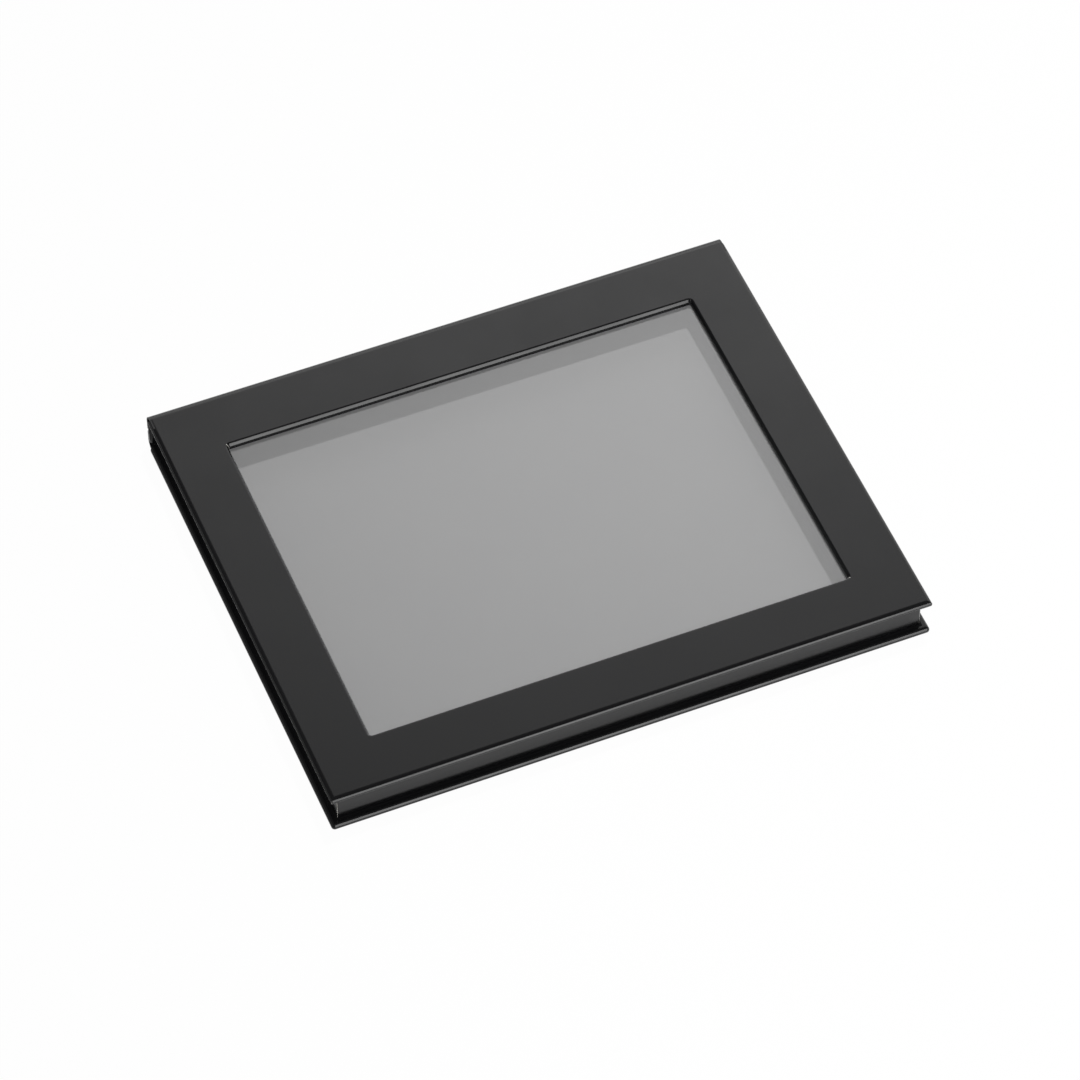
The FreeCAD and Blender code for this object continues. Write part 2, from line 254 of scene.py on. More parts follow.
@dataclass(frozen=True)
class FibreSheet:
    """A dull sheet whose two tones and relief follow the fibres or the filler in it."""

    name: str
    dark: str
    light: str
    roughness: float
    ior: float
    fibre_mm: float
    fibre_height_mm: float
    detail: float
    fibre_roughness: float = 0.5
    # The two tones are spread over this part of the noise
    low: float = 0.0
    high: float = 1.0
    # Under 1, the pattern is drawn out along the object
    stretch: float = 1.0
    specular_level: float = 0.5

    def make(self) -> bpy.types.Material:
        """Build the material.

        Returns:
            The finished material.
        """
        material, tree, surface = new_material(self.name)
        place = add_node(tree, "ShaderNodeTexCoord").outputs["Object"]
        stretched = add_node(tree, "ShaderNodeMapping", inputs={
            "Vector": place, "Scale": (self.stretch, 1.0, 1.0)})
        fibre = add_node(tree, "ShaderNodeTexNoise", inputs={
            "Vector": stretched.outputs["Vector"], "Scale": per_metre(self.fibre_mm),
            "Detail": self.detail, "Roughness": self.fibre_roughness})
        share = add_node(tree, "ShaderNodeMapRange", inputs={
            "Value": fibre.outputs["Fac"], "From Min": self.low, "From Max": self.high})
        tone = add_node(tree, "ShaderNodeMix", {"data_type": "RGBA"}, {
            "Factor": share.outputs["Result"],
            MIX_FIRST: linear(self.dark), MIX_SECOND: linear(self.light)})
        bump = add_node(tree, "ShaderNodeBump", inputs={
            "Height": fibre.outputs["Fac"], "Distance": self.fibre_height_mm * MM})
        shader = add_node(tree, "ShaderNodeBsdfPrincipled", inputs={
            "Base Color": tone.outputs[MIX_RESULT], "Roughness": self.roughness, "IOR": self.ior,
            "Normal": bump.outputs["Normal"], "Specular IOR Level": self.specular_level})
        tree.links.new(shader.outputs["BSDF"], surface)
        return material


@dataclass(frozen=True)
class LiningPaper(FibreSheet):
    """Uncoated black lining paper: a soft dead black with a fine felt-side grain and no gloss."""

    name: str = "black_lining_paper"
    dark: str = "#0c0c0d"
    light: str = "#131314"
    roughness: float = 0.78
    ior: float = 1.5
    # The fibres are coarser than real ones, so that they show in the render
    fibre_mm: float = 0.8
    fibre_height_mm: float = 0.012
    detail: float = 6.0
    fibre_roughness: float = 0.65
    specular_level: float = 0.15


@dataclass(frozen=True)
class GreyBoard(FibreSheet):
    """Recycled grey board: a dull warm grey with lighter and darker fibres pressed into it."""

    name: str = "grey_board"
    dark: str = "#5c5953"
    light: str = "#a09c93"
    roughness: float = 0.9
    ior: float = 1.5
    fibre_mm: float = 1.5
    fibre_height_mm: float = 0.035
    detail: float = 8.0
    fibre_roughness: float = 0.7
    low: float = NOISE_LOW
    high: float = NOISE_HIGH


@dataclass(frozen=True)
class MagnetRubber(FibreSheet):
    """Ferrite-filled rubber sheet: brown-black and dull, with the faint streaks of its rolling."""

    name: str = "ferrite_rubber"
    dark: str = "#2b2826"
    light: str = "#383430"
    roughness: float = 0.7
    ior: float = 1.52
    fibre_mm: float = 1.2
    fibre_height_mm: float = 0.008
    detail: float = 5.0
    stretch: float = 0.04


@dataclass(frozen=True)
class ClearFilm:
    """Clear PET film: what lies under it shows, with a thin mirror-like sheen that ripples slightly."""

    name: str = "clear_pet_film"
    tint: str = "#fbfbfb"
    roughness: float = 0.03
    ior: float = 1.57
    ripple_mm: float = 45.0
    ripple_height_mm: float = 0.02
    mirror_faces: float = 2.0

    def make(self) -> bpy.types.Material:
        """Build the material.

        Returns:
            The finished material.
        """
        material, tree, surface = new_material(self.name)
        place = add_node(tree, "ShaderNodeTexCoord").outputs["Object"]
        ripple = add_node(tree, "ShaderNodeTexNoise", inputs={
            "Vector": place, "Scale": per_metre(self.ripple_mm), "Detail": 1.0})
        bump = add_node(tree, "ShaderNodeBump", inputs={
            "Height": ripple.outputs["Fac"], "Distance": self.ripple_height_mm * MM})
        clear = add_node(tree, "ShaderNodeBsdfTransparent", inputs={"Color": linear(self.tint)})
        gloss = add_node(tree, "ShaderNodeBsdfAnisotropic", inputs={
            "Roughness": self.roughness, "Normal": bump.outputs["Normal"]})
        mirror = add_node(tree, "ShaderNodeFresnel", inputs={"IOR": self.ior})
        inside = add_node(tree, "ShaderNodeNewGeometry").outputs["Backfacing"]
        front = add_node(tree, "ShaderNodeMath", {"operation": "SUBTRACT"}, {0: 1.0, 1: inside})
        both_faces = add_node(tree, "ShaderNodeMath", {"operation": "MULTIPLY"}, {
            0: mirror.outputs["Fac"], 1: self.mirror_faces})
        share = add_node(tree, "ShaderNodeMath", {"operation": "MULTIPLY"}, {
            0: both_faces.outputs["Value"], 1: front.outputs["Value"]})
        film = add_node(tree, "ShaderNodeMixShader", inputs={
            0: share.outputs["Value"], 1: clear.outputs["BSDF"], 2: gloss.outputs["BSDF"]})
        tree.links.new(film.outputs["Shader"], surface)
        return material


@dataclass(frozen=True)
class CoatedVinyl:
    """Matt calendered vinyl on the magnet sheet: an even mid grey with a very fine embossed grain."""

    name: str = "matt_grey_vinyl"
    tone: str = "#a2a2a2"
    shade: str = "#9f9fa0"
    roughness: float = 0.55
    ior: float = 1.53
    # The grain is coarser than the real one, so that it shows in the render
    grain_mm: float = 0.5
    grain_height_mm: float = 0.003
    cloud_mm: float = 30.0

    def make(self) -> bpy.types.Material:
        """Build the material.

        Returns:
            The finished material.
        """
        material, tree, surface = new_material(self.name)
        place = add_node(tree, "ShaderNodeTexCoord").outputs["Object"]
        cloud = add_node(tree, "ShaderNodeTexNoise", inputs={
            "Vector": place, "Scale": per_metre(self.cloud_mm), "Detail": 4.0})
        tone = add_node(tree, "ShaderNodeMix", {"data_type": "RGBA"}, {
            "Factor": cloud.outputs["Fac"], MIX_FIRST: linear(self.shade), MIX_SECOND: linear(self.tone)})
        grain = add_node(tree, "ShaderNodeTexVoronoi", {"feature": "SMOOTH_F1"}, {
            "Vector": place, "Scale": per_metre(self.grain_mm)})
        bump = add_node(tree, "ShaderNodeBump", inputs={
            "Height": grain.outputs["Distance"], "Distance": self.grain_height_mm * MM})
        shader = add_node(tree, "ShaderNodeBsdfPrincipled", inputs={
            "Base Color": tone.outputs[MIX_RESULT], "Roughness": self.roughness,
            "Normal": bump.outputs["Normal"], "IOR": self.ior})
        tree.links.new(shader.outputs["BSDF"], surface)
        return material


@dataclass(frozen=True)
class NickelPlate:
    """Nickel-plated neodymium: a bright, slightly warm metal with fine tumbling scratches."""

    name: str = "nickel_plate"
    tone: str = "#c8c3b8"
    roughness: float = 0.22
    roughness_spread: float = 0.08
    # The scratches are wider than real ones, so that they show in the render
    scratch_mm: float = 0.6

    def make(self) -> bpy.types.Material:
        """Build the material.

        Returns:
            The finished material.
        """
        material, tree, surface = new_material(self.name)
        place = add_node(tree, "ShaderNodeTexCoord").outputs["Object"]
        scratch = add_node(tree, "ShaderNodeTexNoise", inputs={
            "Vector": place, "Scale": per_metre(self.scratch_mm), "Detail": 6.0})
        rough = add_node(tree, "ShaderNodeMapRange", inputs={
            "Value": scratch.outputs["Fac"], "From Min": NOISE_LOW, "From Max": NOISE_HIGH,
            "To Min": self.roughness - self.roughness_spread,
            "To Max": self.roughness + self.roughness_spread})
        shader = add_node(tree, "ShaderNodeBsdfPrincipled", inputs={
            "Base Color": linear(self.tone), "Metallic": 1.0, "Roughness": rough.outputs["Result"]})
        tree.links.new(shader.outputs["BSDF"], surface)
        return material


# Wrapped shapes

@dataclass
class Ring:
    """One rounded rectangle of a wrapped shape, in millimetres, and how much core its corners show.

    The first share of core is for the front right and back left corners, the other for the other two.
    """

    half_width: float
    front: float
    back: float
    level: float
    front_corner: float = TINY
    back_corner: float = TINY
    core: float = 0.0
    other_core: float = 0.0


@dataclass(frozen=True)
class Bend:
    """An arc of paper that turns until an angle in degrees, and the flat after it, in millimetres."""

    radius: float
    until: float = 90.0
    flat: float = 0.0


@dataclass(frozen=True)
class Roll:
    """The way that paper goes over a board's edge, bend by bend."""

    bends: tuple[Bend, ...]
    steps: int = 8

    def points(self) -> list[tuple[float, float]]:
        """Follow the paper from the face to the edge.

        Returns:
            Pairs of the distance in from the edge and the depth below the face.
        """
        across, depth, turn = 0.0, 0.0, 0.0
        path = [(across, depth)]
        for bend in self.bends:
            end = math.radians(bend.until)
            for index in range(1, self.steps + 1):
                angle = turn + index / self.steps * (end - turn)
                path.append((across + bend.radius * (math.sin(angle) - math.sin(turn)),
                             depth + bend.radius * (math.cos(turn) - math.cos(angle))))
            across, depth = path[-1]
            turn = end
            if bend.flat:
                across += bend.flat * math.cos(turn)
                depth += bend.flat * math.sin(turn)
                path.append((across, depth))
        return [(across - along, below) for along, below in path]


@dataclass
class WrapLoft:
    """A Geometry Nodes tree that joins a rounded rectangle for each point of a section into a skin."""

    corner_steps: int = 8
    merge: float = 0.002
    tree: bpy.types.NodeTree | None = None
    sockets: dict[str, str] = field(default_factory=dict)

    # The middle of a corner as a share of its turn, and how near to it a point has to be
    corner_middle: ClassVar[float] = 0.5
    corner_reach: ClassVar[float] = 0.05

    # Sums that find the size of the grid
    grid_sums: ClassVar[Sums] = (
        ("side", "ADD", "corner_steps", 1.0),
        ("around", "MULTIPLY", "side", 4.0),
        ("columns", "ADD", "around", 1.0),
    )

    # Sums that find which ring, corner and angle a grid point belongs to; halves keep the floors safe
    corner_sums: ClassVar[Sums] = (
        ("safe_index", "ADD", "index", 0.5),
        ("column_share", "DIVIDE", "safe_index", "rings"),
        ("column", "FLOOR", "column_share"),
        ("column_start", "MULTIPLY", "column", "rings"),
        ("ring", "SUBTRACT", "index", "column_start"),
        ("turn", "FLOORED_MODULO", "column", "around"),
        ("safe_turn", "ADD", "turn", 0.5),
        ("corner_share", "DIVIDE", "safe_turn", "side"),
        ("corner", "FLOOR", "corner_share"),
        ("corner_start", "MULTIPLY", "corner", "side"),
        ("step", "SUBTRACT", "turn", "corner_start"),
        ("share", "DIVIDE", "step", "corner_steps"),
        ("quarters", "ADD", "corner", "share"),
        ("angle", "MULTIPLY", "quarters", QUARTER_TURN),
        ("cosine", "COSINE", "angle"),
        ("sine", "SINE", "angle"),
        ("diagonal", "MULTIPLY_ADD", "corner", QUARTER_TURN, QUARTER_TURN / 2),
        ("diagonal_cosine", "COSINE", "diagonal"),
        ("diagonal_sine", "SINE", "diagonal"),
        ("right", "SIGN", "diagonal_cosine"),
        ("ahead", "SIGN", "diagonal_sine"),
    )

    # Sums that put the point on its ring and find the share of bare core there
    place_sums: ClassVar[Sums] = (
        ("at_back", "GREATER_THAN", "ahead", 0.0),
        ("round_change", "SUBTRACT", "back_round", "front_round"),
        ("radius", "MULTIPLY_ADD", "at_back", "round_change", "front_round"),
        ("width_left", "SUBTRACT", "half_width", "radius"),
        ("centre_x", "MULTIPLY", "right", "width_left"),
        ("x", "MULTIPLY_ADD", "cosine", "radius", "centre_x"),
        ("depth_left", "SUBTRACT", "half_depth", "radius"),
        ("centre_y", "MULTIPLY_ADD", "ahead", "depth_left", "middle"),
        ("y", "MULTIPLY_ADD", "sine", "radius", "centre_y"),
        ("at_fold", "COMPARE", "share", corner_middle, corner_reach),
        ("pair", "MULTIPLY", "right", "ahead"),
        ("at_other", "GREATER_THAN", "pair", 0.0),
        ("core_change", "SUBTRACT", "other_core", "core"),
        ("corner_core", "MULTIPLY_ADD", "at_other", "core_change", "core"),
        ("bare_core", "MULTIPLY", "at_fold", "corner_core"),
    )

    def plan(self) -> None:
        """Build the tree with its named inputs."""
        self.tree = bpy.data.node_groups.new("wrap_loft", "GeometryNodeTree")
        wanted = {"Section": "NodeSocketGeometry", "Corner Steps": "NodeSocketInt",
                  "Finish": "NodeSocketMaterial"}
        for name, kind in wanted.items():
            socket = self.tree.interface.new_socket(name=name, in_out="INPUT", socket_type=kind)
            self.sockets[name] = socket.identifier
        self.tree.interface.new_socket(name="Skin", in_out="OUTPUT", socket_type="NodeSocketGeometry")
        entry = add_node(self.tree, "NodeGroupInput")
        known = self.grid_points(entry.outputs["Section"], entry.outputs["Corner Steps"])
        grid = add_node(self.tree, "GeometryNodeMeshGrid", inputs={
            "Vertices X": known["columns"], "Vertices Y": known["rings"]})
        place = add_node(self.tree, "ShaderNodeCombineXYZ", inputs={
            "X": known["x"], "Y": known["y"], "Z": known["level"]})
        shaped = add_node(self.tree, "GeometryNodeSetPosition", inputs={
            "Geometry": grid.outputs["Mesh"], "Position": place.outputs["Vector"]})
        marked = add_node(self.tree, "GeometryNodeStoreNamedAttribute", {
            "data_type": "FLOAT", "domain": "POINT"}, {
            "Geometry": shaped.outputs["Geometry"], "Name": CORE_ATTRIBUTE, "Value": known["bare_core"]})
        closed = add_node(self.tree, "GeometryNodeMergeByDistance", inputs={
            "Geometry": marked.outputs["Geometry"], "Distance": self.merge * MM})
        smooth = add_node(self.tree, "GeometryNodeSetShadeSmooth", inputs={
            "Geometry": closed.outputs["Geometry"], "Shade Smooth": True})
        whole = add_node(self.tree, "GeometryNodeRealizeInstances", inputs={
            "Geometry": smooth.outputs["Geometry"]})
        dressed = add_node(self.tree, "GeometryNodeSetMaterial", inputs={
            "Geometry": whole.outputs["Geometry"], "Material": entry.outputs["Finish"]})
        add_node(self.tree, "NodeGroupOutput", inputs={"Skin": dressed.outputs["Geometry"]})

    def grid_points(self, section: bpy.types.NodeSocket,
                    corner_steps: bpy.types.NodeSocket) -> dict[str, bpy.types.NodeSocket]:
        """Work out where each point of the grid goes on its ring.

        Args:
            section: The points that carry the rings' sizes.
            corner_steps: The number of steps round a corner.

        Returns:
            The sockets of all results by name.
        """
        rings = add_node(self.tree, "GeometryNodeAttributeDomainSize", inputs={"Geometry": section})
        index = add_node(self.tree, "GeometryNodeInputIndex")
        known = {"corner_steps": corner_steps, "rings": rings.outputs["Point Count"],
                 "index": index.outputs["Index"]}
        self.work_out(self.grid_sums + self.corner_sums, known)
        carried = {"outline": ("half_width", "half_depth", "middle"),
                   "rounding": ("front_round", "back_round", "core"),
                   "position": ("other_core", "unused", "level")}
        for attribute, names in carried.items():
            value = add_node(self.tree, "GeometryNodeInputNamedAttribute",
                             {"data_type": "FLOAT_VECTOR"}, {"Name": attribute})
            sample = add_node(self.tree, "GeometryNodeSampleIndex", {"data_type": "FLOAT_VECTOR"}, {
                "Geometry": section, "Value": value.outputs["Attribute"], "Index": known["ring"]})
            split = add_node(self.tree, "ShaderNodeSeparateXYZ", inputs={
                "Vector": sample.outputs["Value"]})
            known.update(zip(names, split.outputs))
        self.work_out(self.place_sums, known)
        return known

    def work_out(self, sums: Sums, known: dict[str, bpy.types.NodeSocket]) -> None:
        """Add a list of sums to the tree, each of which may use the results before it.

        Args:
            sums: The sums in order.
            known: The sockets of all results so far by name, which the new results are added to.
        """
        for name, operation, *terms in sums:
            inputs = {number: known.get(term, term) for number, term in enumerate(terms)}
            node = add_node(self.tree, "ShaderNodeMath", {"operation": operation}, inputs)
            known[name] = node.outputs["Value"]

    def make(self, name: str, rings: list[Ring], material: bpy.types.Material,
             placement: Matrix = Matrix.Identity(4)) -> bpy.types.Object:
        """Make a plain mesh from a list of rings.

        Args:
            name: The piece's name.
            rings: The rounded rectangles in order.
            material: The finish.
            placement: Where the shape goes, for one drawn lying flat.

        Returns:
            The finished piece at the origin.
        """
        # The points' own x carries one share of core; the other share is divided by the unit, because
        # all values of its row are turned to metres with the lengths beside it
        section = bpy.data.meshes.new(f"{name}_section")
        section.from_pydata([(ring.other_core, 0, ring.level * MM) for ring in rings], [], [])
        outline = [(ring.half_width, (ring.back - ring.front) / 2, (ring.back + ring.front) / 2)
                   for ring in rings]
        rounding = [(ring.front_corner, ring.back_corner, ring.core / MM) for ring in rings]
        for label, rows in (("outline", outline), ("rounding", rounding)):
            values = [value * MM for row in rows for value in row]
            section.attributes.new(label, "FLOAT_VECTOR", "POINT").data.foreach_set("vector", values)
        holder = link_object(f"{name}_holder", section)
        modifier = holder.modifiers.new("loft", "NODES")
        modifier.node_group = self.tree
        modifier[self.sockets["Corner Steps"]] = self.corner_steps
        modifier[self.sockets["Finish"]] = material
        graph = bpy.context.evaluated_depsgraph_get()
        mesh = bpy.data.meshes.new_from_object(holder.evaluated_get(graph), depsgraph=graph)
        holder.modifiers.clear()
        bpy.data.objects.remove(holder)
        bpy.data.meshes.remove(section)
        mesh.name = name
        mesh.transform(placement)
        mesh.set_sharp_from_angle(angle=math.radians(CRISP_ANGLE))
        return link_object(name, mesh)


@dataclass(frozen=True)
class Panel:
    """A board with paper wrapped round it and turned in on its inner face, drawn lying flat."""

    half_width: float
    front: float
    back: float
    outer: float
    facing: Facing
    outer_roll: Roll = Roll((Bend(1.1),))
    inner_roll: Roll = Roll((Bend(1.1),))
    thickness: float = 2.4
    paper: float = 0.2
    turn_in: float = 10.0
    front_corner: float = 1.1
    back_corner: float = 0.6
    creased_front: bool = False
    fold_core: float = 0.0
    # An extra ring this far from a fold keeps the face beside it flat to the eye
    hold: float = 0.15

    def ring(self, inset: float, depth: float, core: float = 0.0) -> Ring:
        """Give the ring that lies inside the panel's outline.

        Args:
            inset: The distance in from the outline, which leaves creased sides where they are.
            depth: The distance from the outer face.
            core: The share of pale core at the ring's corners.

        Returns:
            The ring.
        """
        front = self.front if self.creased_front else self.front + inset
        corners = [max(corner - inset, TINY) for corner in (self.front_corner, self.back_corner)]
        level = self.outer + self.facing.value * depth
        return Ring(self.half_width - inset, front, self.back, level, *corners, core, core)

    def rolled_sides(self) -> list[Ring]:
        """Follow the paper from the outer face, over the edge and on to the inner face.

        Returns:
            The rings in that order.
        """
        over, under = self.outer_roll.points(), self.inner_roll.points()
        outer = [self.ring(inset, depth, self.fold_core * depth) for inset, depth in over]
        inner = [self.ring(inset, self.thickness - depth, self.fold_core * depth)
                 for inset, depth in under]
        first = self.ring(over[0][0] + self.hold, 0)
        last = self.ring(under[0][0] + self.hold, self.thickness)
        return [first, *outer, *reversed(inner), last]

    def middle(self, depth: float) -> Ring:
        """Close a face at its middle."""
        centre = (self.front + self.back) / 2
        return Ring(0, centre, centre, self.outer + self.facing.value * depth, 0, 0)

    def rings(self) -> list[Ring]:
        """Close the panel on both faces.

        Returns:
            The rings of the whole panel, in the order that makes its faces look outwards.
        """
        recess = self.thickness - self.paper
        lip = [self.ring(self.turn_in, self.thickness), self.ring(self.turn_in, recess)]
        found = [self.middle(0), *self.rolled_sides(), *lip, self.middle(recess)]
        return found if self.facing is Facing.DOWN else found[::-1]


# Sub-assemblies

@dataclass
class Lid:
    """The window lid: its wrapped frame, its film and what is inside it."""

    panel: Panel = Panel(half_width=100.0, front=-82.5, back=79.5, outer=15.4, facing=Facing.UP,
                         front_corner=0.5, fold_core=0.7, outer_roll=Roll((
                             Bend(2.4, until=24.0), Bend(0.6, until=60.0, flat=0.5), Bend(0.6))))
    window_half_width: float = 79.78
    window_front: float = -63.28
    window_back: float = 60.28
    window_corner: float = 0.7
    window_top: Roll = Roll((Bend(0.55, until=60.0, flat=0.9), Bend(0.3, until=82.0, flat=0.9)))
    window_foot: Roll = Roll((Bend(0.3),))
    window_core: float = 0.95
    other_window_core: float = 0.3

    def window_ring(self, outset: float, depth: float, worn: bool = False) -> Ring:
        """Give a ring round the window.

        Args:
            outset: The distance out from the opening.
            depth: The distance from the outer face.
            worn: Whether pale core shows at the ring's corners.

        Returns:
            The ring.
        """
        corner = self.window_corner + outset
        cores = (self.window_core, self.other_window_core) if worn else ()
        level = self.panel.outer + self.panel.facing.value * depth
        return Ring(self.window_half_width + outset, self.window_front - outset,
                    self.window_back + outset, level, corner, corner, *cores)

    def window_sides(self) -> list[Ring]:
        """Follow the paper from the inner face up the window's wall and on to the outer face.

        Returns:
            The rings in that order.
        """
        over, under = self.window_top.points(), self.window_foot.points()
        wall = self.panel.thickness
        upper = [self.window_ring(outset, depth, worn=depth > 0) for outset, depth in over]
        lower = [self.window_ring(outset, wall - depth, worn=depth > 0) for outset, depth in under]
        first = self.window_ring(under[0][0] + self.panel.hold, wall)
        last = self.window_ring(over[0][0] + self.panel.hold, 0)
        return [first, *lower, *reversed(upper), last]

    def build(self, loft: WrapLoft, paper: bpy.types.Material) -> bpy.types.Object:
        """Make the lid's wrap.

        Args:
            loft: The tree that makes wrapped shapes.
            paper: The wrap's finish.

        Returns:
            The wrap.
        """
        rings = [*self.window_sides(), *self.panel.rolled_sides()]
        rings.append(rings[0])
        cover = loft.make("lid_cover", rings[::-1], paper)
        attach(cover, Carrier.LID.value)
        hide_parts("lid_wrap")
        return cover

    def dress(self, film: bpy.types.Material, lining: bpy.types.Material, board: bpy.types.Material,
              nickel: bpy.types.Material) -> None:
        """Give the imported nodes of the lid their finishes.

        Args:
            film: The window's finish.
            lining: The lining's finish.
            board: The board's finish.
            nickel: The magnets' finish.
        """
        dress_node("window_film", film)
        dress_node("lid_lining", lining)
        dress_node("lid_board", board)
        dress_node("lid_magnet_left", nickel)
        dress_node("lid_magnet_right", nickel)


@dataclass
class Base:
    """The base panel that the tray stands on."""

    panel: Panel = Panel(half_width=100.0, front=-82.5, back=79.5, outer=0.0, facing=Facing.DOWN,
                         outer_roll=Roll((Bend(0.9),)),
                         inner_roll=Roll((Bend(0.9, until=60.0, flat=0.5), Bend(0.9))))

    def build(self, loft: WrapLoft, paper: bpy.types.Material) -> bpy.types.Object:
        """Make the base's wrap.

        Args:
            loft: The tree that makes wrapped shapes.
            paper: The wrap's finish.

        Returns:
            The wrap.
        """
        cover = loft.make("base_cover", self.panel.rings(), paper)
        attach(cover, Carrier.BASE.value)
        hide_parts("base_wrap")
        return cover

    def dress(self, lining: bpy.types.Material, board: bpy.types.Material) -> None:
        """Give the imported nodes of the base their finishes.

        Args:
            lining: The lining's finish.
            board: The board's finish.
        """
        dress_node("base_lining", lining)
        dress_node("base_board", board)


@dataclass
class Spine:
    """The standing panel at the back and the two rolled creases that join it to the covers."""

    panel: Panel = Panel(half_width=99.5, front=-4.7, back=4.7, outer=0.0, facing=Facing.DOWN,
                         turn_in=2.5, front_corner=TINY, back_corner=TINY, creased_front=True)
    outer_face: float = 82.5
    middle_height: float = 7.7
    crease_radius: float = 3.0
    crease_thickness: float = 0.4
    crease_half_length: float = 99.4
    crease_flap: float = 4.0
    crease_steps: int = 16
    # The creases' flaps lie this far under the faces of the wraps beside them
    under: float = 0.03

    def build(self, loft: WrapLoft, paper: bpy.types.Material) -> bpy.types.Object:
        """Make the spine's wrap.

        Args:
            loft: The tree that makes wrapped shapes.
            paper: The wrap's finish.

        Returns:
            The wrap.
        """
        stand = Matrix.Translation(Vector((0, self.outer_face, self.middle_height)) * MM)
        placement = stand @ Matrix.Rotation(QUARTER_TURN, 4, "X")
        cover = loft.make("spine_cover", self.panel.rings(), paper, placement)
        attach(cover, Carrier.SPINE.value)
        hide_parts("spine_wrap")
        return cover

    def section(self, upwards: int) -> list[tuple[float, float]]:
        """Draw a crease's cross-section, with flaps that run under the wraps on both sides of it.

        Args:
            upwards: 1 for the crease at the lid and -1 for the one at the base.

        Returns:
            Pairs of depth and height round the closed section.
        """
        centre = self.outer_face - self.crease_radius
        level = self.middle_height + upwards * (self.middle_height - self.crease_radius)
        outside = self.crease_radius
        inside = self.crease_radius - self.crease_thickness
        hidden = outside - self.under
        angles = [index / self.crease_steps * QUARTER_TURN for index in range(self.crease_steps + 1)]
        outer = [(outside * math.cos(angle), outside * math.sin(angle)) for angle in angles]
        inner = [(inside * math.cos(angle), inside * math.sin(angle)) for angle in reversed(angles)]
        flap = -self.crease_flap
        points = [(inside, flap), (hidden, flap), (hidden, -self.under), *outer,
                  (-self.under, hidden), (flap, hidden), (flap, inside), *inner]
        return [(centre + across, level + upwards * rise) for across, rise in points]

    def crease(self, name: str, upwards: int, paper: bpy.types.Material) -> bpy.types.Object:
        """Make a rolled crease.

        Args:
            name: The piece's name.
            upwards: 1 for the crease at the lid and -1 for the one at the base.
            paper: The finish.

        Returns:
            The crease.
        """
        section = self.section(upwards)
        count = len(section)
        ends = (-self.crease_half_length, self.crease_half_length)
        points = [(x * MM, y * MM, z * MM) for x in ends for y, z in section]
        following = [*range(1, count), 0]
        sides = [(index, after, after + count, index + count) for index, after in enumerate(following)]
        caps = [tuple(reversed(range(count))), tuple(range(count, 2 * count))]
        faces = [face[::-1] for face in sides + caps] if upwards < 0 else sides + caps
        mesh = bpy.data.meshes.new(name)
        mesh.from_pydata(points, [], faces)
        mesh.materials.append(paper)
        mesh.shade_smooth()
        mesh.set_sharp_from_angle(angle=math.radians(CRISP_ANGLE))
        return link_object(name, mesh)

    def creases(self, paper: bpy.types.Material) -> list[bpy.types.Object]:
        """Make both creases.

        Args:
            paper: The finish.

        Returns:
            The crease at the base and the one at the lid.
        """
        base = self.crease("base_hinge", -1, paper)
        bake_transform(base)
        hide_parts("base_crease")
        lid = self.crease("lid_hinge", 1, paper)
        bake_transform(lid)
        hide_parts("lid_crease")
        return [base, lid]

    def dress(self, lining: bpy.types.Material, board: bpy.types.Material) -> None:
        """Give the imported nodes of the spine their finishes.

        Args:
            lining: The lining's finish.
            board: The board's finish.
        """
        dress_node("spine_lining", lining)
        dress_node("spine_board", board)


